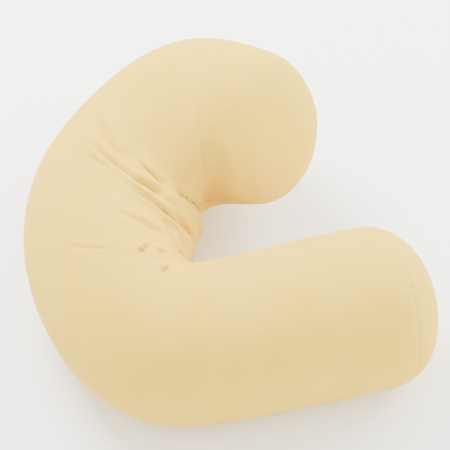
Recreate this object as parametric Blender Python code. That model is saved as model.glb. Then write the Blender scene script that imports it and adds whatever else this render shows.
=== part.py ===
"""C-shaped body pillow: one long filled tube of stretch cloth, bent into a C and lying on its back.

A round panel closes each end of the tube, sewn on a little way over the shoulder.
The lower arm and the spine lie on the floor. The upper arm curls up off it.
Metres, +Z up. The floor is Z = 0, and the origin is under the middle of the pillow's box.
"""

import math
from collections import namedtuple

import bmesh
import bpy
import numpy as np

# Driving dimensions.
SQUASH = 0.018  # how far the tube's own weight flattens it on the floor
SQUASH_BLEND = 0.012  # the roll from the flat underside into the round side
LOWER_DOME = 0.132  # how far each end bulges past the last full section
UPPER_DOME = 0.114
DOME_POWER = 2.35  # 2 is an ellipse, and more is blunter
LOWER_SEAM = 0.42  # where each panel's seam lies, as a share of that end's bulge
UPPER_SEAM = 0.30
PANEL_CLOTH = 0.002
PANEL_GAP = 0.0003
RIM_GAP = 0.0005

# How the inside of the upper bend is filled out: over which rows, and round which angle.
EASE_FROM, EASE_TO, EASE_FADE = 6.7, 11.8, 0.8
EASE_ANGLE = 30
EASE_STEPS = 120

# Where the cloth bridges the hollow beside that bend: over which rows, and round which angles.
FILL_FROM, FILL_TO, FILL_FADE = 6.6, 11.9, 0.7
FILL_ANGLE, FILL_REACH = 35, 75
FILL_STEPS = 60

# Mesh density.
SEGMENTS = 52
CROWD = 0.4  # how much closer the segments stand where the folds are
CROWD_ANGLE = 60
DOME_RINGS = 7  # on the far side of a seam
SHOULDER_RINGS = 3  # between a seam and the last full section

CLOTH_COLOUR = (0.79, 0.64, 0.39, 1.0)
PANEL_COLOUR = (0.78, 0.62, 0.37, 1.0)
CLOTH_ROUGHNESS = 0.85

# The sections of the tube, from the lower arm's end round to the upper arm's.
# heading: the way the tube runs, in degrees from +X. inner, outer: half widths towards
# the gap of the C and away from it. height: half height. lift: height of the section above
# where it would rest. pitch: how steeply the tube climbs there. rings: how many mesh rings
# follow, up to the next section.
Section = namedtuple("Section", "x y lift heading pitch inner outer height rings")
SECTIONS = (
    Section(0.310, -0.227, 0.000, 194, 0, 0.186, 0.164, 0.172, 4),
    Section(0.160, -0.262, 0.000, 191, 0, 0.180, 0.170, 0.172, 4),
    Section(0.000, -0.300, 0.000, 188, 0, 0.171, 0.171, 0.172, 5),
    Section(-0.110, -0.304, 0.000, 166, 0, 0.168, 0.176, 0.172, 7),
    Section(-0.190, -0.242, 0.000, 137, 0, 0.166, 0.175, 0.174, 9),
    Section(-0.236, -0.132, 0.000, 111, 0, 0.180, 0.181, 0.176, 9),
    Section(-0.252, -0.015, 0.000, 90, 0, 0.195, 0.187, 0.178, 9),
    Section(-0.235, 0.100, 0.000, 68, 0, 0.194, 0.191, 0.180, 9),
    Section(-0.183, 0.194, 0.004, 42, 3, 0.184, 0.194, 0.184, 7),
    Section(-0.112, 0.254, 0.024, 16, 12, 0.176, 0.205, 0.196, 6),
    Section(-0.030, 0.254, 0.067, -10, 23, 0.176, 0.208, 0.199, 6),
    Section(0.046, 0.198, 0.110, -42, 33, 0.181, 0.175, 0.182, 1),
)

# The main folds, where the cloth is pushed together inside the bend.
# place: how far along the sections each end of the fold is, counted in rows from 0.
# angle: where that is round the tube, from the gap of the C at 0 over the top at 90.
# bow: how far the fold's middle leans towards the upper arm, in rows.
# depth: how deep the fold sinks, or with a minus how far it stands out.
Fold = namedtuple("Fold", "place angle end_place end_angle bow depth width")
FOLDS = (
    Fold(7.60, 118, 6.40, 78, 0.02, 0.008, 0.018),
    Fold(6.85, 104, 5.95, 54, -0.14, 0.013, 0.014),
    Fold(6.55, 108, 6.20, 90, 0.00, 0.006, 0.012),
    Fold(6.45, 66, 6.15, 48, 0.00, 0.008, 0.012),
    Fold(5.85, 74, 5.05, 14, 0.03, 0.015, 0.013),
    Fold(5.08, 78, 4.35, 46, 0.00, 0.011, 0.013),
    Fold(4.87, 118, 4.52, 92, 0.00, 0.004, 0.014),
    Fold(4.75, 36, 3.60, 34, 0.00, 0.014, 0.012),
    Fold(4.50, 52, 3.40, 52, 0.00, -0.008, 0.014),
    Fold(4.12, 80, 3.98, 72, 0.00, 0.006, 0.012),
    Fold(3.45, 76, 3.35, 68, 0.00, 0.005, 0.012),
    Fold(5.50, 12, 6.90, 10, 0.00, -0.020, 0.034),
    Fold(7.20, 30, 6.10, 22, 0.00, 0.012, 0.014),
)


def between(rows, place):
    """The rows' columns at a place counted in rows, on a smooth curve through them."""
    table = np.array(rows, float)
    last = len(table) - 1
    low = np.clip(np.floor(place).astype(int), 0, last - 1)
    t = (place - low)[..., None]
    before = table[np.clip(low - 1, 0, last)]
    here, after = table[low], table[low + 1]
    beyond = table[np.clip(low + 2, 0, last)]
    return 0.5 * (
        2 * here
        + (after - before) * t
        + (2 * before - 5 * here + 4 * after - beyond) * t**2
        + (3 * here - before - 3 * after + beyond) * t**3
    )


def surface(place, angle, bulge=0.0):
    """Points on the pillow: a place along the sections, an angle in degrees round them,
    and how far past the first or last section, as a share of that end's dome."""
    place, angle, bulge = np.broadcast_arrays(
        np.asarray(place, float), np.radians(angle), np.asarray(bulge, float)
    )
    x, y, lift, heading, pitch, inner, outer, height, _ = np.moveaxis(
        between(SECTIONS, place), -1, 0
    )
    heading, pitch = np.radians(heading), np.radians(pitch)
    along = np.stack(
        (
            np.cos(heading) * np.cos(pitch),
            np.sin(heading) * np.cos(pitch),
            np.sin(pitch),
        ),
        -1,
    )
    inward = np.stack((np.sin(heading), -np.cos(heading), 0 * heading), -1)
    upward = np.cross(inward, along)
    dome = np.where(bulge < 0, LOWER_DOME, UPPER_DOME)
    shrink = np.maximum(1 - np.abs(bulge) ** DOME_POWER, 0) ** (1 / DOME_POWER)
    centre = np.stack((x, y, height - SQUASH + lift), -1)
    centre = centre + along * (bulge * dome)[..., None]
    wide = np.where(np.cos(angle) > 0, inner, outer) * np.cos(angle) * shrink
    tall = height * np.sin(angle) * shrink
    points = centre + inward * wide[..., None] + upward * tall[..., None]
    return rest_on_floor(points)


def rest_on_floor(points):
    """Flattens what would lie below the floor, with a soft roll at the flat's rim."""
    z = points[..., 2]
    rolled = (z + SQUASH_BLEND) ** 2 / (4 * SQUASH_BLEND)
    rested = np.where(z > SQUASH_BLEND, z, np.where(z < -SQUASH_BLEND, 0, rolled))
    return np.concatenate((points[..., :2], rested[..., None]), -1)


def stations():
    """The mesh rings as (place, bulge) pairs, from pole to pole, with the poles left out,
    and the two rings on which the panels' seams lie."""
    last = len(SECTIONS) - 1
    rings = dome_rings(0, -1, LOWER_SEAM)[::-1]
    lower_seam = DOME_RINGS - 1
    for row, section in enumerate(SECTIONS[:-1]):
        rings += [(row + i / section.rings, 0.0) for i in range(section.rings)]
    rings.append((last, 0.0))
    rings += dome_rings(last, 1, UPPER_SEAM)
    upper_seam = len(rings) - DOME_RINGS
    return np.array(rings), lower_seam, upper_seam


def dome_rings(place, side, seam):
    """Rings from the last full section to the pole, evenly spaced along the dome's profile."""
    shoulder = math.asin(seam)
    angles = [shoulder * (i + 1) / SHOULDER_RINGS for i in range(SHOULDER_RINGS)]
    step = (math.pi / 2 - shoulder) / DOME_RINGS
    angles += [shoulder + step * (i + 1) for i in range(DOME_RINGS - 1)]
    return [(place, side * math.sin(a)) for a in angles]


def ring_angles():
    """Where the segments lie round the tube, crowded together where the folds are."""
    turn = np.arange(SEGMENTS) * math.tau / SEGMENTS
    return np.degrees(turn - CROWD * np.sin(turn - math.radians(CROWD_ANGLE)))


def eased(points, rings, angles):
    """The inside of the upper bend filled out, where the rings would pinch to a groove."""
    place = rings[:, 0] + rings[:, 1] * 2
    rise = np.clip((place - EASE_FROM) / EASE_FADE, 0, 1)
    fall = np.clip((EASE_TO - place) / EASE_FADE, 0, 1)
    turn = 0.5 + 0.5 * np.cos(np.radians(angles - EASE_ANGLE))
    share = ((rise * fall)[:, None] * turn[None, :])[1:-1, :, None]
    smooth = points.copy()
    for _ in range(EASE_STEPS):
        middle = (smooth[:-2] + smooth[2:]) / 2
        smooth[1:-1] += 0.5 * share * (middle - smooth[1:-1])
    return smooth


def filled(points, rings, angles):
    """Taut cloth doesn't follow a hollow but bridges it, so hollows there are raised."""
    place = rings[:, 0] + rings[:, 1] * 2
    rise = np.clip((place - FILL_FROM) / FILL_FADE, 0, 1)
    fall = np.clip((FILL_TO - place) / FILL_FADE, 0, 1)
    turned = (angles - FILL_ANGLE + 180) % 360 - 180
    turn = np.clip(1.5 - 1.5 * np.abs(turned) / FILL_REACH, 0, 1)
    share = ((rise * fall)[:, None] * turn[None, :])[1:-1]
    bridged = points.copy()
    for _ in range(FILL_STEPS):
        beside = (np.roll(bridged, 1, 1) + np.roll(bridged, -1, 1))[1:-1]
        middle = (bridged[:-2] + bridged[2:] + beside) / 4
        out = outward(bridged)[1:-1]
        hollow = ((middle - bridged[1:-1]) * out).sum(-1)
        bridged[1:-1] += out * (share * np.maximum(hollow, 0))[..., None]
    return bridged


def fold_depth(points):
    """How deep the folds sink each point, from its distance to each fold's own line."""
    sunk = np.zeros(points.shape[:-1])
    steps = np.linspace(0, 1, 25)
    for fold in FOLDS:
        place = fold.place + (fold.end_place - fold.place) * steps
        place = place + fold.bow * np.sin(math.pi * steps)
        angle = fold.angle + (fold.end_angle - fold.angle) * steps
        line = surface(place, angle)
        away = np.linalg.norm(points[..., None, :] - line, axis=-1)
        nearest = away.argmin(-1)
        share = np.sin(math.pi * np.clip(steps * 0.9 + 0.05, 0, 1)) ** 0.7
        across = away.min(-1) / fold.width
        sunk += fold.depth * share[nearest] * (1 - 0.3 * across**2) * np.exp(-(across**2) / 2)
    return sunk


def outward(points):
    """The direction straight out of the surface at each point of the rows."""
    ahead = np.roll(points, -1, 1) - np.roll(points, 1, 1)
    onward = np.gradient(points, axis=0)
    normal = np.cross(onward, ahead)
    return normal / np.linalg.norm(normal, axis=-1, keepdims=True)


def pillow_points(rings, angles):
    """The pillow's outside, a row of points for each ring, with the folds sunk in."""
    plain = surface(rings[:, :1], angles[None, :], rings[:, 1:])
    points = filled(eased(plain, rings, angles), rings, angles)
    folded = points - outward(points) * fold_depth(points)[..., None]
    resting = points[..., 2] < SQUASH_BLEND
    folded[..., 2] = np.where(resting, points[..., 2], np.maximum(folded[..., 2], 0.001))
    return folded


def sphere(name, rows, pole, end_pole):
    """A sphere primitive whose rings are moved onto the rows of points."""
    count = len(rows)
    bm = bmesh.new()
    bmesh.ops.create_uvsphere(bm, u_segments=SEGMENTS, v_segments=count + 1, radius=1.0)
    for vert in bm.verts:
        ring = round(math.acos(max(-1.0, min(1.0, vert.co.z))) / math.pi * (count + 1)) - 1
        turn = round(math.atan2(vert.co.y, vert.co.x) / math.tau * SEGMENTS) % SEGMENTS
        if ring < 0:
            vert.co = pole
        elif ring >= count:
            vert.co = end_pole
        else:
            vert.co = rows[ring, turn]
    bmesh.ops.triangulate(bm, faces=bm.faces, quad_method="SHORT_EDGE")
    if bm.calc_volume(signed=True) < 0:
        bmesh.ops.reverse_faces(bm, faces=bm.faces)
    mesh = bpy.data.meshes.new(name)
    bm.to_mesh(mesh)
    bm.free()
    mesh.shade_smooth()
    return bpy.data.objects.new(name, mesh)


def panel(name, outer, inner, outer_tip, inner_tip):
    """A round of cloth over one end. Its rows run from the middle out to the seam and, on
    the inner side, back to the middle again."""
    drawn = RIM_GAP / np.linalg.norm(outer[-2] - outer[-1], axis=-1, keepdims=True)
    outer_rim = outer[-1] + (outer[-2] - outer[-1]) * drawn
    inner_rim = inner[-1] + (inner[-2] - inner[-1]) * drawn
    rows = np.concatenate((outer[:-1], outer_rim[None], inner_rim[None], inner[-2::-1]))
    return sphere(name, rows, outer_tip, inner_tip)


def material(name, colour):
    made = bpy.data.materials.new(name)
    made.use_nodes = True
    shader = made.node_tree.nodes["Principled BSDF"]
    shader.inputs["Base Color"].default_value = colour
    shader.inputs["Roughness"].default_value = CLOTH_ROUGHNESS
    shader.inputs["Metallic"].default_value = 0.0
    return made


def main():
    for obj in list(bpy.data.objects):
        bpy.data.objects.remove(obj)
    rings, lower_seam, upper_seam = stations()
    outside = pillow_points(rings, ring_angles())
    poles = surface(np.array([0, len(SECTIONS) - 1]), 0, np.array([-1.0, 1.0]))
    every = np.concatenate((outside.reshape(-1, 3), poles))
    centre = (every.min(0) + every.max(0)) / 2
    centre[2] = 0
    outside, poles = outside - centre, poles - centre

    # Under the panels the body is drawn in by the thickness of their cloth.
    out = outward(outside)
    tips = np.array([poles[0] - outside[0].mean(0), poles[1] - outside[-1].mean(0)])
    tips = tips / np.linalg.norm(tips, axis=-1, keepdims=True)
    cloth_inside = outside - out * PANEL_CLOTH
    cloth_tips = poles - tips * PANEL_CLOTH
    inside = outside - out * (PANEL_CLOTH + PANEL_GAP)
    inside_tips = poles - tips * (PANEL_CLOTH + PANEL_GAP)
    lower = slice(0, lower_seam + 1)
    bare = slice(lower_seam, upper_seam + 1)
    upper = slice(upper_seam, len(rings))
    body_rows = np.concatenate((inside[lower], outside[bare], inside[upper]))
    body = sphere("pillow_body", body_rows, inside_tips[0], inside_tips[1])
    lower_panel = panel(
        "end_panel_lower", outside[lower], cloth_inside[lower], poles[0], cloth_tips[0]
    )
    upper_panel = panel(
        "end_panel_upper",
        outside[upper][::-1],
        cloth_inside[upper][::-1],
        poles[1],
        cloth_tips[1],
    )

    body.data.materials.append(material("tube_cloth", CLOTH_COLOUR))
    lower_panel.data.materials.append(material("lower_panel_cloth", PANEL_COLOUR))
    upper_panel.data.materials.append(material("upper_panel_cloth", PANEL_COLOUR))
    collection = bpy.data.collections.new("body_pillow")
    bpy.context.scene.collection.children.link(collection)
    for obj in (body, lower_panel, upper_panel):
        collection.objects.link(obj)


main()
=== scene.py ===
"""The look of the C-shaped body pillow: its folds, seams and jersey cloth, with floor, light and camera."""

import math
from collections import namedtuple

import bmesh
import bpy
import numpy as np
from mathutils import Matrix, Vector, noise


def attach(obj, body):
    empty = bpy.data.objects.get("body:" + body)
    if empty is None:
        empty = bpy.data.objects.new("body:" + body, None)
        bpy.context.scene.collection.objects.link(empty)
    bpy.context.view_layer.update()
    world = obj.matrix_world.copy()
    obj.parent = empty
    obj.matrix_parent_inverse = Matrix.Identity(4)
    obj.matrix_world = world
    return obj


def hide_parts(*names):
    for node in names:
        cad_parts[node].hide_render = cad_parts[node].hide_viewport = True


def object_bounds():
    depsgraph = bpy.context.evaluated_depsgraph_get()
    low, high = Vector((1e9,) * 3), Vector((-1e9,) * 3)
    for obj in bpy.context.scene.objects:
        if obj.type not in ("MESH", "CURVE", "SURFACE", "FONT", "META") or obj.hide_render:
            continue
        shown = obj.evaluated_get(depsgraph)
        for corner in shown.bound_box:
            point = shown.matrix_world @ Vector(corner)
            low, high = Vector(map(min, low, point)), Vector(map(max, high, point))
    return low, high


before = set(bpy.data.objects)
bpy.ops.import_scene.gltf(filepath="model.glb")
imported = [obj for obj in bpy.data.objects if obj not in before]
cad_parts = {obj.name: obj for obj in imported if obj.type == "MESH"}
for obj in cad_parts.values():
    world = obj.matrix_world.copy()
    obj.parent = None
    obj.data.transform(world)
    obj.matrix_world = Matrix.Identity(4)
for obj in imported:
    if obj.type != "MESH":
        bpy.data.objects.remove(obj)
cad_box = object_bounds()

# The driving dimensions are those of part.py.
SQUASH = 0.018
SQUASH_BLEND = 0.012
LOWER_DOME = 0.132
UPPER_DOME = 0.114
DOME_POWER = 2.35
LOWER_SEAM = 0.42
UPPER_SEAM = 0.30
PANEL_CLOTH = 0.002
PANEL_GAP = 0.0003
RIM_GAP = 0.0005
EASE_FROM, EASE_TO, EASE_FADE = 6.7, 11.8, 0.8
EASE_ANGLE = 30
EASE_STEPS = 120
FILL_FROM, FILL_TO, FILL_FADE = 6.6, 11.9, 0.7
FILL_ANGLE, FILL_REACH = 35, 75
FILL_STEPS = 60

# The cloth stretched across the inside of the upper bend, from the crease under it to the
# end panel. At each of these angles it leaves and arrives at these places.
# leave: how far it keeps the direction in which it leaves, as a share of its length.
Bridge = namedtuple("Bridge", "angle start end leave")
BRIDGES = (
    Bridge(-55, 10.6, 11.9, 0.15),
    Bridge(-27, 9.8, 12.3, 0.15),
    Bridge(-16, 8.6, 12.5, 0.15),
    Bridge(10, 7.0, 12.6, 0.15),
    Bridge(24, 6.5, 12.5, 0.15),
    Bridge(36, 6.3, 12.4, 0.15),
    Bridge(50, 6.42, 12.2, 0.40),
    Bridge(60, 6.65, 12.1, 0.65),
    Bridge(70, 6.9, 12.0, 0.70),
    Bridge(110, 7.3, 11.8, 0.70),
)
# How many degrees it takes to set in, how far it keeps the direction in which it arrives, how far
# its points are spread evenly, and the range of rise over which it takes over from the cloth.
BRIDGE_FADE = 30
BRIDGE_ARRIVE = 0.7
BRIDGE_SPREAD = 0.1
BRIDGE_LIFT = 0.006
# The passes that soften it, how strong each one is, and how many rings past its ends they reach.
BRIDGE_SOFTEN = 40
SOFTEN_STEP = 0.7
SOFTEN_BEFORE, SOFTEN_AFTER = 6, 8
# Where leave is below SHARP_LEAVE it rises out of a crease, and the softening starts inside it.
SHARP_LEAVE, SHARP_START = 0.3, 4

# The part's own mesh, from which the finer one here is drawn.
COARSE_SEGMENTS = 52
COARSE_CROWD = 0.4
CROWD_ANGLE = 60
COARSE_DOME_RINGS = 7
COARSE_SHOULDER_RINGS = 3

# The finer mesh. Rings stand closer in the bend and beside the seams.
SEGMENTS = 256
CROWD = 0.6
BEND_FROM, BEND_TO = 3, 8
BEND_STEP = 0.0025
ARM_STEP = 0.0095
SEAM_STEP, STEP_GROWTH, END_STEP = 0.0015, 0.11, 0.007
DOME_RADIUS = 0.15
# How near the rings come to the pole, in radians, and to the full sections where each end starts.
POLE_GAP = 0.02
LOWER_START, UPPER_START = 0.002, 0.005
# Under the panels every third ring is kept, and each of the nine nearest to the seam.
THIN_OUT, SEAM_RINGS = 3, 9
# Where the rings take the shape that part.py draws on its own mesh, with the fades at both ends.
DRAWN_FROM, DRAWN_TO = 6.3, 12.05
DRAWN_IN, DRAWN_OUT = 0.3, 0.1

# The sewn seams of the end panels, as distances from the last full section towards the pole.
# The photograph shows the upper one further down the arm than the part has it, and aslant.
LOWER_SEAM_AT = DOME_RADIUS * math.asin(LOWER_SEAM)
UPPER_SEAM_AT = -0.041
SLANT, SLANT_ANGLE, SLANT_REACH = 0.036, 150, 0.06
SEAM_DEPTH = 0.0014
SEAM_WIDTH = 0.0045
PUCKERS = 40
PUCKER = 0.0006
PUCKER_REACH = 0.014
# At this angle the cloth is gathered more.
GATHER, GATHER_ANGLE, GATHER_WIDTH = 1.4, 110, 14

# The cloth simulation of the bend's inside.
# SEWN_BEND: how much of the bend the tube was sewn with, the rest is what crumples it.
SEWN_BEND = 0.6
SEWN_SLACK = 0.03
SIM_FROM, SIM_TO = 2.6, 7.5
SIM_LOW, SIM_HIGH = -75, 165
SIM_FADE, SIM_SIDE_FADE = 0.5, 30
SIM_FRAMES = 20
SIM_CAP = 0.006

# Soft pleats between the creases. They lean so that they fan out from the inside of the bend.
PLEAT = 0.0040
PLEAT_COUNT = 6.0
PLEAT_LEAN = 0.021
PLEAT_FROM, PLEAT_TO = 3.6, 7.0
PLEAT_LOW, PLEAT_HIGH = 0, 140
PLEAT_ANGLE, PLEAT_SPREAD = 62, 42
PLEAT_TURN = 0.014
PLEAT_DRAW = 2.3

# The stuffing's unevenness: how many lumps in a metre, and their height. The draws, here and
# above, only pick the place in the noise.
BROAD_LUMPS, BROAD_HEIGHT, BROAD_DRAW = 5.5, 0.0022, 3.1
SMALL_LUMPS, SMALL_HEIGHT, SMALL_DRAW = 17, 0.0006, 7.7

# The jersey. A wale is one column of stitches, and the girth is the way around the tube.
WALE_WIDTH = 0.0013
STITCH_HEIGHT = 0.001
GIRTH = 1.12
DEEP_CREAM = (0.690, 0.452, 0.032, 1)
PALE_CREAM = (0.712, 0.478, 0.045, 1)

# The studio: each lamp's name, place, size and power, and the camera.
LAMPS = (
    ("key", (-1.3, 1.5, 2.6), 1.6, 255),
    ("rim", (1.9, 1.1, 1.8), 1.6, 90),
    ("fill", (2.2, -0.4, 0.5), 1.0, 28),
)
LAMP_AIM = 0.15
CAMERA_AIM = 0.17
CAMERA_RISE = 50
CAMERA_AWAY = 3.7

Section = namedtuple("Section", "x y lift heading pitch inner outer height rings")
SECTIONS = (
    Section(0.310, -0.227, 0.000, 194, 0, 0.186, 0.164, 0.172, 4),
    Section(0.160, -0.262, 0.000, 191, 0, 0.180, 0.170, 0.172, 4),
    Section(0.000, -0.300, 0.000, 188, 0, 0.171, 0.171, 0.172, 5),
    Section(-0.110, -0.304, 0.000, 166, 0, 0.168, 0.176, 0.172, 7),
    Section(-0.190, -0.242, 0.000, 137, 0, 0.166, 0.175, 0.174, 9),
    Section(-0.236, -0.132, 0.000, 111, 0, 0.180, 0.181, 0.176, 9),
    Section(-0.252, -0.015, 0.000, 90, 0, 0.195, 0.187, 0.178, 9),
    Section(-0.235, 0.100, 0.000, 68, 0, 0.194, 0.191, 0.180, 9),
    Section(-0.183, 0.194, 0.004, 42, 3, 0.184, 0.194, 0.184, 7),
    Section(-0.112, 0.254, 0.024, 16, 12, 0.176, 0.205, 0.196, 6),
    Section(-0.030, 0.254, 0.067, -10, 23, 0.176, 0.208, 0.199, 6),
    Section(0.046, 0.198, 0.110, -42, 33, 0.181, 0.175, 0.182, 1),
)

# The width of the narrow lines in the creases, and how many points a fold is drawn with.
LINE_WIDTH = 0.0028
FOLD_STEPS = 61

# Creases and swells in the cloth. Place and angle are those of part.py's folds.
# lip: how far the cloth beside the crease stands up, as a share of its depth.
# skew: which side stands up more, from -1 to 1.
# line: how deep the narrow line at the bottom of the crease is.
Fold = namedtuple("Fold", "place angle end_place end_angle bow depth width lip skew line")
FOLDS = (
    Fold(7.60, 122, 6.52, 78, -0.02, 0.0085, 0.0105, 0.30, 0.3, 0.0028),
    Fold(6.83, 106, 6.02, 66, -0.02, 0.0060, 0.0058, 0.40, 0.5, 0.0040),
    Fold(6.12, 72, 5.86, 54, 0.02, 0.0120, 0.0070, 0.30, 0.3, 0.0040),
    Fold(6.62, 108, 6.28, 89, 0.00, 0.0035, 0.0055, 0.35, 0.4, 0.0032),
    Fold(6.58, 69, 6.22, 52, 0.00, 0.0090, 0.0065, 0.35, 0.4, 0.0034),
    Fold(5.90, 76, 5.22, 40, -0.03, 0.0070, 0.0060, 0.40, 0.5, 0.0044),
    Fold(5.40, 52, 5.18, 15, 0.00, 0.0130, 0.0085, 0.20, 0.2, 0.0034),
    Fold(5.40, 50, 5.22, 38, 0.00, 0.0110, 0.0070, 0.10, 0.0, 0.0050),
    Fold(5.17, 80, 4.50, 52, 0.00, 0.0036, 0.0075, 0.40, 0.4, 0.0018),
    Fold(4.95, 121, 4.46, 93, 0.00, 0.0018, 0.0045, 0.30, 0.6, 0.0030),
    Fold(5.00, 47, 3.50, 28, 0.00, 0.0150, 0.0110, 0.30, 0.0, 0.0010),
    Fold(4.15, 79, 4.25, 68, 0.00, 0.0048, 0.0042, 0.60, 0.5, 0.0016),
    Fold(4.24, 78, 4.12, 73, 0.00, 0.0035, 0.0038, 0.30, 0.0, 0.0020),
    Fold(4.02, 64, 3.82, 57, 0.00, 0.0045, 0.0045, 0.50, 0.4, 0.0016),
    Fold(3.34, 79, 3.31, 64, 0.05, 0.0044, 0.0042, 0.60, 0.5, 0.0018),
    Fold(3.40, 70, 3.28, 67, 0.00, 0.0035, 0.0038, 0.30, 0.0, 0.0016),
    Fold(6.20, 46, 6.60, 24, 0.00, 0.0030, 0.0060, 0.20, 0.5, 0.0008),
    Fold(6.50, 28, 9.80, -28, 0.00, 0.0050, 0.0070, 0.30, 0.3, 0.0010),
    Fold(9.20, 2, 11.64, -24, 0.00, 0.0016, 0.0055, 0.40, 0.4, 0.0006),
    Fold(5.30, -6, 4.10, 2, 0.00, 0.0170, 0.0170, 0.10, 0.0, 0.0000),
    Fold(5.34, 26, 5.30, -14, 0.00, 0.0080, 0.0060, 0.20, 0.0, 0.0030),
    Fold(6.05, 30, 5.75, 14, 0.00, 0.0060, 0.0120, 0.10, 0.0, 0.0000),
    Fold(4.34, 49, 3.20, 50, 0.05, -0.0080, 0.0120, 0.00, 0.0, 0.0000),
    Fold(6.00, 50, 5.80, 38, 0.00, -0.0070, 0.0120, 0.00, 0.0, 0.0000),
    Fold(5.80, 4, 6.60, 2, 0.00, -0.0100, 0.0220, 0.00, 0.0, 0.0000),
)


def between(rows, place):
    """The rows' columns at a place counted in rows, on a smooth curve through them."""
    table = np.array(rows, float)
    last = len(table) - 1
    low = np.clip(np.floor(place).astype(int), 0, last - 1)
    t = (place - low)[..., None]
    before = table[np.clip(low - 1, 0, last)]
    here, after = table[low], table[low + 1]
    beyond = table[np.clip(low + 2, 0, last)]
    return 0.5 * (
        2 * here
        + (after - before) * t
        + (2 * before - 5 * here + 4 * after - beyond) * t**2
        + (3 * here - before - 3 * after + beyond) * t**3
    )


def directions(heading, pitch):
    """The way along the tube, into the C and up, at a heading and a pitch."""
    along = np.stack(
        (np.cos(heading) * np.cos(pitch), np.sin(heading) * np.cos(pitch), np.sin(pitch)), -1
    )
    inward = np.stack((np.sin(heading), -np.cos(heading), 0 * heading), -1)
    return along, inward, np.cross(inward, along)


def surface(place, angle, bulge=0.0):
    """Points on the pillow, as in part.py."""
    place, angle, bulge = np.broadcast_arrays(
        np.asarray(place, float), np.radians(angle), np.asarray(bulge, float)
    )
    x, y, lift, heading, pitch, inner, outer, height, _ = np.moveaxis(
        between(SECTIONS, place), -1, 0
    )
    along, inward, upward = directions(np.radians(heading), np.radians(pitch))
    dome = np.where(bulge < 0, LOWER_DOME, UPPER_DOME)
    shrink = np.maximum(1 - np.abs(bulge) ** DOME_POWER, 0) ** (1 / DOME_POWER)
    centre = np.stack((x, y, height - SQUASH + lift), -1)
    centre = centre + along * (bulge * dome)[..., None]
    wide = np.where(np.cos(angle) > 0, inner, outer) * np.cos(angle) * shrink
    tall = height * np.sin(angle) * shrink
    points = centre + inward * wide[..., None] + upward * tall[..., None]
    return rest_on_floor(points)


def rest_on_floor(points):
    z = points[..., 2]
    rolled = (z + SQUASH_BLEND) ** 2 / (4 * SQUASH_BLEND)
    rested = np.where(z > SQUASH_BLEND, z, np.where(z < -SQUASH_BLEND, 0, rolled))
    return np.concatenate((points[..., :2], rested[..., None]), -1)


def turned_angles(count, crowd):
    turn = np.arange(count) * math.tau / count
    return np.degrees(turn - crowd * np.sin(turn - math.radians(CROWD_ANGLE)))


def coarse_dome(place, side, seam):
    shoulder = math.asin(seam)
    turns = [shoulder * (i + 1) / COARSE_SHOULDER_RINGS for i in range(COARSE_SHOULDER_RINGS)]
    step = (math.pi / 2 - shoulder) / COARSE_DOME_RINGS
    turns += [shoulder + step * (i + 1) for i in range(COARSE_DOME_RINGS - 1)]
    return [(place, side * math.sin(turn)) for turn in turns]


def coarse_stations():
    """The mesh rings of part.py as (place, bulge) pairs."""
    last = len(SECTIONS) - 1
    rings = coarse_dome(0, -1, LOWER_SEAM)[::-1]
    for row, section in enumerate(SECTIONS[:-1]):
        rings += [(row + i / section.rings, 0.0) for i in range(section.rings)]
    rings.append((last, 0.0))
    rings += coarse_dome(last, 1, UPPER_SEAM)
    return np.array(rings)


def eased(points, rings, angles):
    """The inside of the upper bend filled out, as in part.py."""
    place = rings[:, 0] + rings[:, 1] * 2
    rise = np.clip((place - EASE_FROM) / EASE_FADE, 0, 1)
    fall = np.clip((EASE_TO - place) / EASE_FADE, 0, 1)
    turn = 0.5 + 0.5 * np.cos(np.radians(angles - EASE_ANGLE))
    share = ((rise * fall)[:, None] * turn[None, :])[1:-1, :, None]
    smooth = points.copy()
    for _ in range(EASE_STEPS):
        middle = (smooth[:-2] + smooth[2:]) / 2
        smooth[1:-1] += 0.5 * share * (middle - smooth[1:-1])
    return smooth


def filled(points, rings, angles):
    """Hollows beside that bend raised, as in part.py."""
    place = rings[:, 0] + rings[:, 1] * 2
    rise = np.clip((place - FILL_FROM) / FILL_FADE, 0, 1)
    fall = np.clip((FILL_TO - place) / FILL_FADE, 0, 1)
    turned = (angles - FILL_ANGLE + 180) % 360 - 180
    turn = np.clip(1.5 - 1.5 * np.abs(turned) / FILL_REACH, 0, 1)
    share = ((rise * fall)[:, None] * turn[None, :])[1:-1]
    bridged = points.copy()
    for _ in range(FILL_STEPS):
        beside = (np.roll(bridged, 1, 1) + np.roll(bridged, -1, 1))[1:-1]
        middle = (bridged[:-2] + bridged[2:] + beside) / 4
        out = outward(bridged)[1:-1]
        hollow = ((middle - bridged[1:-1]) * out).sum(-1)
        bridged[1:-1] += out * (share * np.maximum(hollow, 0))[..., None]
    return bridged


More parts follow.
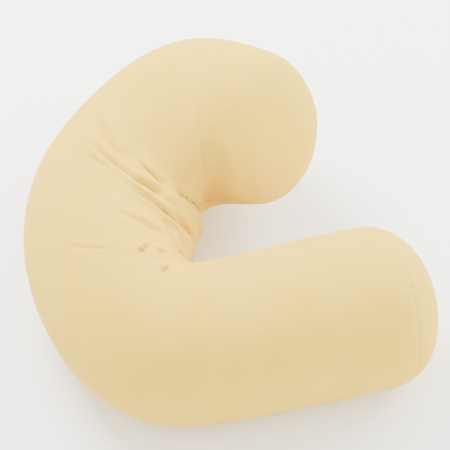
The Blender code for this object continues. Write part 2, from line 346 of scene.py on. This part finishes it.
def bridged(points, rings, angles):
    """The cloth inside the upper bend, stretched from the crease under it to the end panel."""
    place = rings[:, 0] + rings[:, 1] * 2
    rows = np.arange(len(place))
    table = np.array(BRIDGES, float)
    result = points.copy()
    soft = np.zeros(points.shape[:-1])
    for column, angle in enumerate((angles + 180) % 360 - 180):
        turn = min(angle - BRIDGES[0].angle, BRIDGES[-1].angle - angle) / BRIDGE_FADE
        if turn <= 0:
            continue
        leaves, arrives, keep = (np.interp(angle, table[:, 0], table[:, i]) for i in (1, 2, 3))
        first, last = np.interp((leaves, arrives), place, rows)
        line = points[:, column]
        marks = np.array((first - 2, first, last, last + 2))
        before, start, end, beyond = between(line, marks)
        reach = np.linalg.norm(end - start)
        leave = (start - before) * keep * reach / np.linalg.norm(start - before)
        arrive = (beyond - end) * BRIDGE_ARRIVE * reach / np.linalg.norm(beyond - end)
        run = np.append(0, np.cumsum(np.linalg.norm(np.diff(line, axis=0), axis=-1)))
        run_start, run_end = np.interp((first, last), rows, run)
        inside = np.flatnonzero((rows > first) & (rows < last))
        even = (run[inside] - run_start) / (run_end - run_start)
        straight = np.clip((line[inside] - start) @ (end - start) / reach**2, 0, 1)
        straight = np.maximum.accumulate(straight)
        t = (straight + (even - straight) * BRIDGE_SPREAD)[:, None]
        taut = start * (2 * t**3 - 3 * t**2 + 1) + end * (3 * t**2 - 2 * t**3)
        taut += leave * (t**3 - 2 * t**2 + t) + arrive * (t**3 - t**2)
        around = (points[:, (column + 1) % SEGMENTS] - points[:, column - 1])[inside[[0, -1]]]
        along = np.stack((start - before, beyond - end))
        out = np.cross(along, around)
        out = (out / np.linalg.norm(out, axis=-1, keepdims=True)).sum(0)
        lift = (taut - line[inside]) @ (out / np.linalg.norm(out))
        share = min(turn, 1) * np.clip(lift / BRIDGE_LIFT + 0.5, 0, 1)
        share = share**2 * (3 - 2 * share)
        result[inside, column] += (taut - line[inside]) * share[:, None]
        edge = inside[SHARP_START] if keep < SHARP_LEAVE else inside[0] - SOFTEN_BEFORE
        soft[edge : inside[-1] + SOFTEN_AFTER, column] = min(turn, 1)
    soft = soft[1:-1, :, None]
    for _ in range(BRIDGE_SOFTEN):
        beside = (np.roll(result, 1, 1) + np.roll(result, -1, 1))[1:-1]
        middle = (result[:-2] + result[2:] + beside) / 4
        out = outward(result)[1:-1]
        rise = ((middle - result[1:-1]) * out).sum(-1, keepdims=True)
        result[1:-1] += SOFTEN_STEP * soft * rise * out
    return result


def outward(points):
    """The direction straight out of the surface at each point of the rows."""
    ahead = np.roll(points, -1, 1) - np.roll(points, 1, 1)
    onward = np.gradient(points, axis=0)
    normal = np.cross(onward, ahead)
    return normal / np.linalg.norm(normal, axis=-1, keepdims=True)


def fine_end(place, side, seam, start, run):
    """Rings from a start to the pole as (place, bulge) pairs, closest together at the seam.

    seam and start are distances from the last full section at this place towards the pole, and
    run is the length of that section's row. Also gives the number of rings beyond the seam."""
    before, beyond = [], []
    for found, way in ((before, -1), (beyond, 1)):
        away = 0.0
        while True:
            away += min(SEAM_STEP + STEP_GROWTH * away, END_STEP)
            at = seam + way * away
            if not start < at < DOME_RADIUS * (math.pi / 2 - POLE_GAP):
                break
            found.append(at)
    rings = []
    for at in before[::-1] + [seam] + beyond:
        if at > 0:
            rings.append((place, side * math.sin(at / DOME_RADIUS)))
        else:
            rings.append((place + side * at / run, 0.0))
    return rings, len(beyond)


def row_run(row):
    """The length of the middle line from one section to the next."""
    here, after = SECTIONS[row], SECTIONS[row + 1]
    return math.dist((here.x, here.y, here.lift), (after.x, after.y, after.lift))


def fine_stations():
    """The finer rings as (place, bulge) pairs, and the two rings of the panels' seams."""
    last = len(SECTIONS) - 1
    lower_rings, lower_seam = fine_end(0, -1, LOWER_SEAM_AT, LOWER_START, row_run(0))
    rings = lower_rings[::-1]
    for row in range(last - 1):
        step = BEND_STEP if BEND_FROM <= row < BEND_TO else ARM_STEP
        count = math.ceil(row_run(row) / step)
        rings += [(row + i / count, 0.0) for i in range(count)]
    rings.append((last - 1, 0.0))
    run = row_run(last - 1)
    upper_rings, beyond = fine_end(last, 1, UPPER_SEAM_AT, UPPER_START - run, run)
    rings += upper_rings
    return np.array(rings), lower_seam, len(rings) - 1 - beyond


def fine_surface(rings, angles):
    """The same surface as the part's, on the finer rings."""
    plain = surface(rings[:, :1], angles[None, :], rings[:, 1:])
    coarse_rings = coarse_stations()
    coarse_angles = turned_angles(COARSE_SEGMENTS, COARSE_CROWD)
    coarse = surface(coarse_rings[:, :1], coarse_angles[None, :], coarse_rings[:, 1:])
    coarse = filled(eased(coarse, coarse_rings, coarse_angles), coarse_rings, coarse_angles)
    coarse_key = coarse_rings[:, 0] + coarse_rings[:, 1] * 2
    key = rings[:, 0] + rings[:, 1] * 2
    row = np.interp(key, coarse_key, np.arange(len(coarse_key)))
    tall = between(coarse.reshape(len(coarse), -1), row)
    tall = tall.reshape(len(rings), COARSE_SEGMENTS, 3).transpose(1, 0, 2)
    wrapped = np.concatenate((tall[-2:], tall, tall[:3]))
    start = coarse_angles[0]
    turned = (angles - start) % 360
    marks = np.append(coarse_angles, start + 360) - start
    column = np.interp(turned, marks, np.arange(COARSE_SEGMENTS + 1))
    wide = between(wrapped.reshape(len(wrapped), -1), column + 2)
    drawn = wide.reshape(len(angles), len(rings), 3).transpose(1, 0, 2)
    rise = np.clip((key - DRAWN_FROM) / DRAWN_IN, 0, 1)
    share = rise * np.clip((DRAWN_TO - key) / DRAWN_OUT, 0, 1)
    return bridged(plain + (drawn - plain) * share[:, None, None], rings, angles)


def locate(grid, rings, angles, place, angle):
    """The grid's value at a place and an angle, between its own rings and segments."""
    key = rings[:, 0] + rings[:, 1]
    row = np.interp(place, key, np.arange(len(key)))
    turned = (angle - angles[0]) % 360 + angles[0]
    column = np.interp(turned, np.append(angles, angles[0] + 360), np.arange(SEGMENTS + 1))
    low_row = np.clip(np.floor(row).astype(int), 0, len(key) - 2)
    low_column = np.floor(column).astype(int) % SEGMENTS
    next_column = (low_column + 1) % SEGMENTS
    t, s = (row - low_row)[:, None], (column - np.floor(column))[:, None]
    near = grid[low_row, low_column] * (1 - s) + grid[low_row, next_column] * s
    far = grid[low_row + 1, low_column] * (1 - s) + grid[low_row + 1, next_column] * s
    return near * (1 - t) + far * t


def creased(points, rings, angles, narrow=False):
    """Sinks the creases into the cloth and raises the lips beside them.

    The narrow pass cuts the sharp line at the bottom of each crease."""
    normal = outward(points)
    moved = np.zeros_like(points)
    steps = np.linspace(0, 1, FOLD_STEPS)
    for fold in FOLDS:
        if narrow and fold.line == 0:
            continue
        place = fold.place + (fold.end_place - fold.place) * steps
        place = place + fold.bow * np.sin(math.pi * steps)
        angle = fold.angle + (fold.end_angle - fold.angle) * steps
        line = locate(points, rings, angles, place, angle)
        face = locate(normal, rings, angles, place, angle)
        side = np.cross(face, np.gradient(line, axis=0))
        side /= np.linalg.norm(side, axis=-1, keepdims=True)
        width = LINE_WIDTH if narrow else fold.width
        middle = line.mean(0)
        span = np.linalg.norm(line - middle, axis=-1).max() + 5 * width
        near = np.linalg.norm(points - middle, axis=-1) < span
        spot = points[near]
        away = spot[:, None, :] - line
        gap = np.linalg.norm(away, axis=-1)
        nearest = gap.argmin(-1)
        offset = away[np.arange(len(spot)), nearest]
        across = (offset * side[nearest]).sum(-1)
        sign = np.sign(across)
        x = gap.min(-1) / width
        share = np.sin(math.pi * np.clip(steps * 0.92 + 0.04, 0, 1)) ** 0.7
        share = share[nearest]
        if narrow:
            rise = -fold.line * np.exp(-1.2 * x**1.6)
            pull = fold.line * 0.5 * x * np.exp(-(x**2) / 1.6)
        elif fold.lip > 0:
            sunk = np.exp(-1.1 * x**1.5)
            lip = fold.lip * (1 + fold.skew * sign) * np.exp(-(((x - 2.0) / 0.85) ** 2))
            rise = fold.depth * (lip - sunk)
            pull = fold.depth * 0.35 * x * np.exp(-(x**2) / 1.6)
        else:
            rise = -fold.depth * (1 - 0.3 * x**2) * np.exp(-(x**2) / 2)
            pull = 0 * x
        shift = normal[near] * (rise * share)[:, None]
        shift -= side[nearest] * (sign * pull * share)[:, None]
        moved[near] += shift
    return points + moved


def as_sewn(points, rings):
    """The rings laid out with less of a bend, which gives the cloth its sewn length."""
    table = between(SECTIONS, rings[:, 0])
    heading, pitch = np.radians(table[:, 3]), np.radians(table[:, 4])
    start = len(rings) // 2
    loose = heading[start] + (heading - heading[start]) * SEWN_BEND
    level = pitch[start] + (pitch - pitch[start]) * SEWN_BEND
    now = np.stack(directions(heading, pitch), 1)
    then = np.stack(directions(loose, level), 1)
    middle = points.mean(1)
    local = np.einsum("rkc,rsc->rsk", now, points - middle[:, None])
    step = np.einsum("rkc,rc->rk", (now[1:] + now[:-1]) / 2, np.diff(middle, axis=0))
    step = np.einsum("rkc,rk->rc", (then[1:] + then[:-1]) / 2, step * (1 + SEWN_SLACK))
    centres = np.concatenate((middle[:1], middle[:1] + np.cumsum(step, axis=0)))
    return centres[:, None] + np.einsum("rkc,rsk->rsc", then, local)


def crumpled(points, sewn, rings, angles):
    """A cloth simulation of the bend's inside, where the tube has more cloth than room.

    It runs on every second ring and segment, and its movement is spread over all of them."""
    rows = np.flatnonzero((rings[:, 0] > SIM_FROM) & (rings[:, 0] < SIM_TO))
    rows = rows[: (len(rows) - 1) // 2 * 2 + 1]
    turned = (angles + 180) % 360 - 180
    columns = np.flatnonzero((turned > SIM_LOW) & (turned < SIM_HIGH))
    columns = columns[np.argsort(turned[columns])]
    columns = columns[: (len(columns) - 1) // 2 * 2 + 1]
    patch = np.ix_(rows[::2], columns[::2])
    start, cut = points[patch], sewn[patch]
    high, wide = start.shape[:2]

    bm = bmesh.new()
    bmesh.ops.create_grid(bm, x_segments=high - 1, y_segments=wide - 1, size=1.0)
    mesh = bpy.data.meshes.new("crumple")
    bm.to_mesh(mesh)
    bm.free()
    grid = np.empty(len(mesh.vertices) * 3)
    mesh.vertices.foreach_get("co", grid)
    grid = grid.reshape(-1, 3)
    row = np.rint((grid[:, 0] + 1) / 2 * (high - 1)).astype(int)
    column = np.rint((grid[:, 1] + 1) / 2 * (wide - 1)).astype(int)
    mesh.vertices.foreach_set("co", start[row, column].ravel())
    middle = Vector(start.reshape(-1, 3).mean(0)) - Vector((0, 0, 0.2))
    if sum(face.normal.dot(face.center - middle) for face in mesh.polygons) < 0:
        mesh.flip_normals()
    cloth = bpy.data.objects.new("crumple", mesh)
    bpy.context.scene.collection.objects.link(cloth)
    cloth.shape_key_add(name="now")
    key = cloth.shape_key_add(name="sewn")
    key.data.foreach_set("co", cut[row, column].ravel())
    key.value = 0

    place, around = rings[rows[::2], 0], turned[columns[::2]]
    along = np.minimum(place - SIM_FROM, SIM_TO - place) / SIM_FADE
    around = np.minimum(around - SIM_LOW, SIM_HIGH - around) / SIM_SIDE_FADE
    held = 1 - np.clip(along, 0, 1)[:, None] * np.clip(around, 0, 1)[None, :]
    pin = cloth.vertex_groups.new(name="held")
    for index, weight in enumerate(held[row, column]):
        if weight > 0:
            pin.add([index], float(weight), "REPLACE")

    settings = cloth.modifiers.new("cloth", "CLOTH").settings
    settings.rest_shape_key = key
    settings.vertex_group_mass = "held"
    settings.pin_stiffness = 1
    settings.quality = 6
    settings.mass = 0.15
    settings.air_damping = 3
    settings.tension_stiffness = 25
    settings.compression_stiffness = 25
    settings.shear_stiffness = 5
    settings.bending_stiffness = 0.05
    settings.tension_damping = 10
    settings.compression_damping = 10
    settings.shear_damping = 10
    settings.bending_damping = 1
    settings.use_pressure = True
    settings.uniform_pressure_force = 4
    settings.effector_weights.gravity = 0
    cache = cloth.modifiers["cloth"].point_cache
    cache.frame_start, cache.frame_end = 1, SIM_FRAMES
    for step in range(1, SIM_FRAMES + 1):
        bpy.context.scene.frame_set(step)
    ready = cloth.evaluated_get(bpy.context.evaluated_depsgraph_get())
    settled = np.empty(len(mesh.vertices) * 3)
    ready.data.vertices.foreach_get("co", settled)
    moved = np.zeros_like(start)
    moved[row, column] = settled.reshape(-1, 3) - start[row, column]
    size = np.linalg.norm(moved, axis=-1, keepdims=True)
    moved = moved * np.tanh(size / SIM_CAP) * SIM_CAP / np.maximum(size, 1e-9)
    bpy.context.scene.frame_set(1)
    bpy.data.objects.remove(cloth)
    bpy.data.meshes.remove(mesh)

    moved = between(moved.reshape(high, -1), np.arange(len(rows)) / 2)
    moved = moved.reshape(len(rows), wide, 3).transpose(1, 0, 2)
    moved = between(moved.reshape(wide, -1), np.arange(len(columns)) / 2)
    moved = moved.reshape(len(columns), len(rows), 3).transpose(1, 0, 2)
    result = points.copy()
    result[np.ix_(rows, columns)] += moved
    return result


def pleated(points, rings, angles):
    """Soft pleats that fan out from the inside of the bend."""
    normal = outward(points)
    turned = (angles + 180) % 360 - 180
    rise = np.zeros(points.shape[:-1])
    for i in np.flatnonzero((rings[:, 0] > PLEAT_FROM) & (rings[:, 0] < PLEAT_TO)):
        place = rings[i, 0]
        ends = min(place - PLEAT_FROM, PLEAT_TO - place, 1.0)
        for j in np.flatnonzero((turned > PLEAT_LOW) & (turned < PLEAT_HIGH)):
            across = place - PLEAT_LEAN * (turned[j] - 60)
            spot = Vector((across * PLEAT_COUNT, turned[j] * PLEAT_TURN, PLEAT_DRAW))
            fan = math.exp(-(((turned[j] - PLEAT_ANGLE) / PLEAT_SPREAD) ** 2))
            rise[i, j] = PLEAT * noise.noise(spot) * fan * ends
    return points + normal * rise[..., None]


def lumpy(points):
    """The stuffing's soft unevenness."""
    normal = outward(points)
    flat = points.reshape(-1, 3)
    rise = np.empty(len(flat))
    for i, spot in enumerate(flat):
        broad = noise.noise(Vector(spot * BROAD_LUMPS + (0, 0, BROAD_DRAW)))
        small = noise.noise(Vector(spot * SMALL_LUMPS + (SMALL_DRAW, 0, 0)))
        rise[i] = BROAD_HEIGHT * broad + SMALL_HEIGHT * small
    return points + normal * rise.reshape(points.shape[:-1])[..., None]


def slanted(points, angles, seam):
    """The rings slid along the cloth, so that the seam lies aslant across the arm."""
    slide = SLANT * np.cos(np.radians(angles - SLANT_ANGLE))
    steps = np.linalg.norm(np.diff(points, axis=0), axis=-1)
    run = np.concatenate((np.zeros((1, points.shape[1])), np.cumsum(steps, axis=0)))
    away = run - run[seam]
    result = points.copy()
    for column in range(SEGMENTS):
        here = away[:, column]
        sought = here + slide[column] * np.exp(-((here / SLANT_REACH) ** 2))
        row = np.interp(sought, here, np.arange(len(here)))
        result[:, column] = between(points[:, column], row)
    return result


def seamed(points, angles, seam):
    """Draws the cloth in at a panel's seam, and puckers it on both sides."""
    normal = outward(points)
    steps = np.linalg.norm(np.diff(points, axis=0), axis=-1)
    run = np.concatenate((np.zeros((1, points.shape[1])), np.cumsum(steps, axis=0)))
    away = np.abs(run - run[seam])
    turn = np.radians(angles)
    pull = 0.5 + 0.3 * np.sin(3 * turn + 0.8) * np.sin(5 * turn + 2.1)
    gathered = ((angles - GATHER_ANGLE + 180) % 360 - 180) / GATHER_WIDTH
    pull = pull + GATHER * np.exp(-(gathered**2))
    pucker = np.sin(PUCKERS * turn + 1.7 * np.sin(3 * turn) + 1.1 * np.sin(7 * turn + 1.0))
    rise = -SEAM_DEPTH * np.exp(-((away / SEAM_WIDTH) ** 1.4))
    rise = rise + PUCKER * pull * pucker * np.exp(-((away / PUCKER_REACH) ** 1.2))
    return points + normal * rise[..., None]


def mesh_piece(name, rows, pole, end_pole, laid):
    """A sphere primitive whose rings are moved onto the rows of points.

    laid gives each point's place on the flat cloth, with the first column again at the end."""
    count = len(rows)
    bm = bmesh.new()
    bmesh.ops.create_uvsphere(bm, u_segments=SEGMENTS, v_segments=count + 1, radius=1.0)
    cloth = bm.loops.layers.uv.new("cloth")
    where = {}
    for vert in bm.verts:
        ring = round(math.acos(max(-1.0, min(1.0, vert.co.z))) / math.pi * (count + 1)) - 1
        turn = round(math.atan2(vert.co.y, vert.co.x) / math.tau * SEGMENTS) % SEGMENTS
        where[vert] = (ring, turn)
    for face in bm.faces:
        turned = [where[loop.vert][1] for loop in face.loops if 0 <= where[loop.vert][0] < count]
        wraps = max(turned) - min(turned) > SEGMENTS / 2
        for loop in face.loops:
            ring, turn = where[loop.vert]
            if not 0 <= ring < count:
                turn = turned[0]
            if wraps and turn < SEGMENTS / 2:
                turn += SEGMENTS
            loop[cloth].uv = laid[max(0, min(count - 1, ring)), turn]
    for vert, (ring, turn) in where.items():
        if ring < 0:
            vert.co = pole
        elif ring >= count:
            vert.co = end_pole
        else:
            vert.co = rows[ring, turn]
    if bm.calc_volume(signed=True) < 0:
        bmesh.ops.reverse_faces(bm, faces=bm.faces)
    mesh = bpy.data.meshes.new(name)
    bm.to_mesh(mesh)
    bm.free()
    mesh.shade_smooth()
    made = bpy.data.objects.new(name, mesh)
    bpy.context.scene.collection.objects.link(made)
    return made


def panel(name, outer, inner, outer_tip, inner_tip, angles, hidden):
    """A round of cloth over one end, its rim drawn in a little. Its inner side has fewer rows.

    hidden: which rings the inner side has."""
    step = np.linalg.norm(outer[-2] - outer[-1], axis=-1, keepdims=True)
    drawn = np.minimum(RIM_GAP / step, 0.4)
    outer_rim = outer[-1] + (outer[-2] - outer[-1]) * drawn
    inner_rim = inner[-1] + (inner[-2] - inner[-1]) * drawn
    back = hidden[:-1][::-1]
    rows = np.concatenate((outer[:-1], outer_rim[None], inner_rim[None], inner[back]))
    steps = np.linalg.norm(np.diff(outer.mean(1), axis=0), axis=-1)
    wide = np.linalg.norm(outer - outer.mean(1, keepdims=True), axis=-1).mean(1)
    away = wide[0] + np.concatenate(([0], np.cumsum(np.hypot(steps, np.diff(wide)))))
    away = np.concatenate((away, away[-1:], away[back]))
    turn = np.radians(np.append(angles, angles[0] + 360))
    laid = np.stack((away[:, None] * np.cos(turn), away[:, None] * np.sin(turn)), -1)
    return mesh_piece(name, rows, outer_tip, inner_tip, laid)


def kept_rings(count):
    """The hidden rings: each one near the seam and every third one further off.

    They are counted from the pole."""
    return np.array([i for i in range(count) if count - 1 - i < SEAM_RINGS or i % THIN_OUT == 0])


def draped(rings, angles, seams):
    """The outside of the cloth, with its pleats, creases, unevenness and seams."""
    plain = fine_surface(rings, angles)
    cloth = creased(pleated(plain, rings, angles), rings, angles)
    cloth = crumpled(cloth, as_sewn(plain, rings), rings, angles)
    cloth = creased(cloth, rings, angles, narrow=True)
    cloth = slanted(lumpy(cloth), angles, seams[1])
    for seam in seams:
        cloth = seamed(cloth, angles, seam)
    resting = plain[..., 2]
    cloth[..., 2] = np.where(resting < SQUASH_BLEND, resting, cloth[..., 2])
    cloth[..., 2] = np.maximum(cloth[..., 2], 0)
    return cloth


def recentred(outside, poles):
    """The cloth moved to the middle of the part's box, and how far."""
    every = np.concatenate((outside.reshape(-1, 3), poles))
    low, high = cad_box
    centre = (every.min(0) + every.max(0)) / 2 - (np.array(low) + np.array(high)) / 2
    centre[2] = 0
    return outside - centre, poles - centre, centre


def tube_piece(outside, inside, inside_tips, angles, ends):
    """The tube, which goes on under the panels with fewer rings. ends: the rings under them."""
    lower, bare, upper = ends[0], np.arange(ends[0][-1], ends[1][0] + 1), ends[1]
    rings = np.concatenate((lower, bare, upper))
    rows = np.concatenate((inside[lower], outside[bare], inside[upper]))
    steps = np.linalg.norm(np.diff(outside.mean(1), axis=0), axis=-1)
    runs = np.concatenate(([0], np.cumsum(steps)))[rings]
    turns = np.append(angles, angles[0] + 360) / 360 * GIRTH
    laid = np.stack(np.broadcast_arrays(turns[None, :], runs[:, None]), -1)
    return mesh_piece("tube_cloth_piece", rows, inside_tips[0], inside_tips[1], laid)


def main():
    rings, lower_seam, upper_seam = fine_stations()
    angles = turned_angles(SEGMENTS, CROWD)
    outside = draped(rings, angles, (lower_seam, upper_seam))
    poles = surface(np.array([0, len(SECTIONS) - 1]), 0, np.array([-1.0, 1.0]))
    outside, poles, centre = recentred(outside, poles)

    out = outward(outside)
    tips = np.array([poles[0] - outside[0].mean(0), poles[1] - outside[-1].mean(0)])
    tips = tips / np.linalg.norm(tips, axis=-1, keepdims=True)
    cloth_inside = outside - out * PANEL_CLOTH
    cloth_tips = poles - tips * PANEL_CLOTH
    inside = outside - out * (PANEL_CLOTH + PANEL_GAP)
    inside_tips = poles - tips * (PANEL_CLOTH + PANEL_GAP)
    lower = np.arange(lower_seam + 1)
    upper = np.arange(len(rings) - 1, upper_seam - 1, -1)
    lower_kept, upper_kept = kept_rings(len(lower)), kept_rings(len(upper))

    ends = (lower[lower_kept], upper[upper_kept][::-1])
    tube = tube_piece(outside, inside, inside_tips, angles, ends)
    lower_panel, upper_panel = (
        panel(name, outside[side], cloth_inside[side], poles[end], cloth_tips[end], angles, kept)
        for name, side, end, kept in (
            ("lower_panel_piece", lower, 0, lower_kept),
            ("upper_panel_piece", upper, 1, upper_kept),
        )
    )
    cloth = jersey("cream_jersey")
    for piece, node, slot in (
        (tube, "pillow_body", "tube_cloth"),
        (lower_panel, "end_panel_lower", "panel_cloth"),
        (upper_panel, "end_panel_upper", "panel_cloth"),
    ):
        piece.data.materials.append(cloth)
        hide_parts(node)
        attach(piece, "root")
    light()
    camera(centre)
    stage_floor()


def jersey(name):
    """Fine cream jersey: knit stitches, a soft nap and a little unevenness in its colour."""
    made = bpy.data.materials.new(name)
    made.use_nodes = True
    nodes, links = made.node_tree.nodes, made.node_tree.links
    shader = nodes["Principled BSDF"]
    shader.inputs["Roughness"].default_value = 0.92
    shader.inputs["Specular IOR Level"].default_value = 0.08
    shader.inputs["Sheen Weight"].default_value = 0.06
    shader.inputs["Sheen Roughness"].default_value = 0.6
    shader.inputs["Sheen Tint"].default_value = (1.0, 0.9, 0.65, 1)

    def math_node(operation, a, b=None, c=None):
        node = nodes.new("ShaderNodeMath")
        node.operation = operation
        for socket, value in zip(node.inputs, (a, b, c)):
            if value is None:
                continue
            if isinstance(value, (int, float)):
                socket.default_value = value
            else:
                links.new(value, socket)
        return node.outputs[0]

    def noise_node(scale, detail):
        node = nodes.new("ShaderNodeTexNoise")
        node.inputs["Scale"].default_value = scale
        node.inputs["Detail"].default_value = detail
        links.new(solid, node.inputs["Vector"])
        return node.outputs["Fac"]

    def bump_node(strength, distance, height):
        node = nodes.new("ShaderNodeBump")
        node.inputs["Strength"].default_value = strength
        node.inputs["Distance"].default_value = distance
        links.new(height, node.inputs["Height"])
        return node

    def ramp_node(source, *stops):
        node = nodes.new("ShaderNodeValToRGB")
        for element, (position, colour) in zip(node.color_ramp.elements, stops):
            element.position = position
            element.color = colour
        links.new(source, node.inputs["Fac"])
        return node.outputs["Color"]

    flat = nodes.new("ShaderNodeUVMap")
    flat.uv_map = "cloth"
    split = nodes.new("ShaderNodeSeparateXYZ")
    links.new(flat.outputs["UV"], split.inputs[0])
    solid = nodes.new("ShaderNodeTexCoord").outputs["Object"]

    # Each stitch in a wale is a V.
    wale = math_node("PINGPONG", math_node("DIVIDE", split.outputs["X"], WALE_WIDTH), 0.5)
    lean = math_node("MULTIPLY_ADD", split.outputs["Y"], 1 / STITCH_HEIGHT, wale)
    stitch = math_node("PINGPONG", lean, 0.5)
    knit = math_node("MULTIPLY_ADD", wale, -0.9, math_node("MULTIPLY", stitch, 0.8))
    nap = noise_node(700.0, 3.0)
    bump = bump_node(0.35, 0.0004, math_node("MULTIPLY_ADD", nap, 1.0, knit))
    slub = bump_node(0.5, 0.0012, noise_node(55.0, 3.0))
    links.new(slub.outputs["Normal"], bump.inputs["Normal"])
    links.new(bump.outputs["Normal"], shader.inputs["Normal"])

    cream = ramp_node(noise_node(9.0, 4.0), (0.3, DEEP_CREAM), (0.7, PALE_CREAM))
    fibre = ramp_node(nap, (0.25, (0.93, 0.92, 0.88, 1)), (0.75, (1.0, 1.0, 1.0, 1)))
    mix = nodes.new("ShaderNodeMix")
    mix.data_type = "RGBA"
    mix.blend_type = "MULTIPLY"
    mix.inputs["Factor"].default_value = 1.0
    links.new(cream, mix.inputs[6])
    links.new(fibre, mix.inputs[7])
    links.new(mix.outputs[2], shader.inputs["Base Color"])
    return made


def stage_floor():
    """The plain pale floor."""
    floor_mesh = bpy.data.meshes.new("floor")
    bm = bmesh.new()
    bmesh.ops.create_grid(bm, x_segments=2, y_segments=2, size=9)
    bm.to_mesh(floor_mesh)
    bm.free()
    floor = bpy.data.objects.new("floor", floor_mesh)
    bpy.context.scene.collection.objects.link(floor)
    pale = bpy.data.materials.new("pale_floor")
    pale.use_nodes = True
    shader = pale.node_tree.nodes["Principled BSDF"]
    shader.inputs["Base Color"].default_value = (0.95, 0.97, 1.0, 1)
    shader.inputs["Roughness"].default_value = 0.9
    shader.inputs["Specular IOR Level"].default_value = 0.1
    floor.data.materials.append(pale)


def light():
    """The soft light of the studio and its lamps."""
    world = bpy.data.worlds.new("studio")
    world.use_nodes = True
    background = world.node_tree.nodes["Background"]
    background.inputs["Color"].default_value = (1, 0.97, 0.90, 1)
    background.inputs["Strength"].default_value = 3.0
    bpy.context.scene.world = world
    for name, place, size, power in LAMPS:
        lamp = bpy.data.lights.new(name, "AREA")
        lamp.size = size
        lamp.energy = power
        lamp.color = (1.0, 1.0, 1.0)
        lit = bpy.data.objects.new(name, lamp)
        lit.location = place
        turn = (Vector((0, 0, LAMP_AIM)) - Vector(place)).to_track_quat("-Z", "Y")
        lit.rotation_euler = turn.to_euler()
        bpy.context.scene.collection.objects.link(lit)


def camera(centre):
    """The camera at the photograph's angle, moved back by centre like the pillow."""
    aim = Vector((0, 0, CAMERA_AIM)) - Vector(centre)
    made = bpy.data.objects.new("camera", bpy.data.cameras.new("camera"))
    made.data.lens = 135
    made.data.sensor_width = 36
    rise = math.radians(CAMERA_RISE)
    back = Vector((0, -math.cos(rise), math.sin(rise)))
    made.location = aim + back * CAMERA_AWAY
    made.rotation_euler = (math.pi / 2 - rise, 0, 0)
    made.data.clip_end = 60
    bpy.context.scene.collection.objects.link(made)
    bpy.context.scene.camera = made


main()
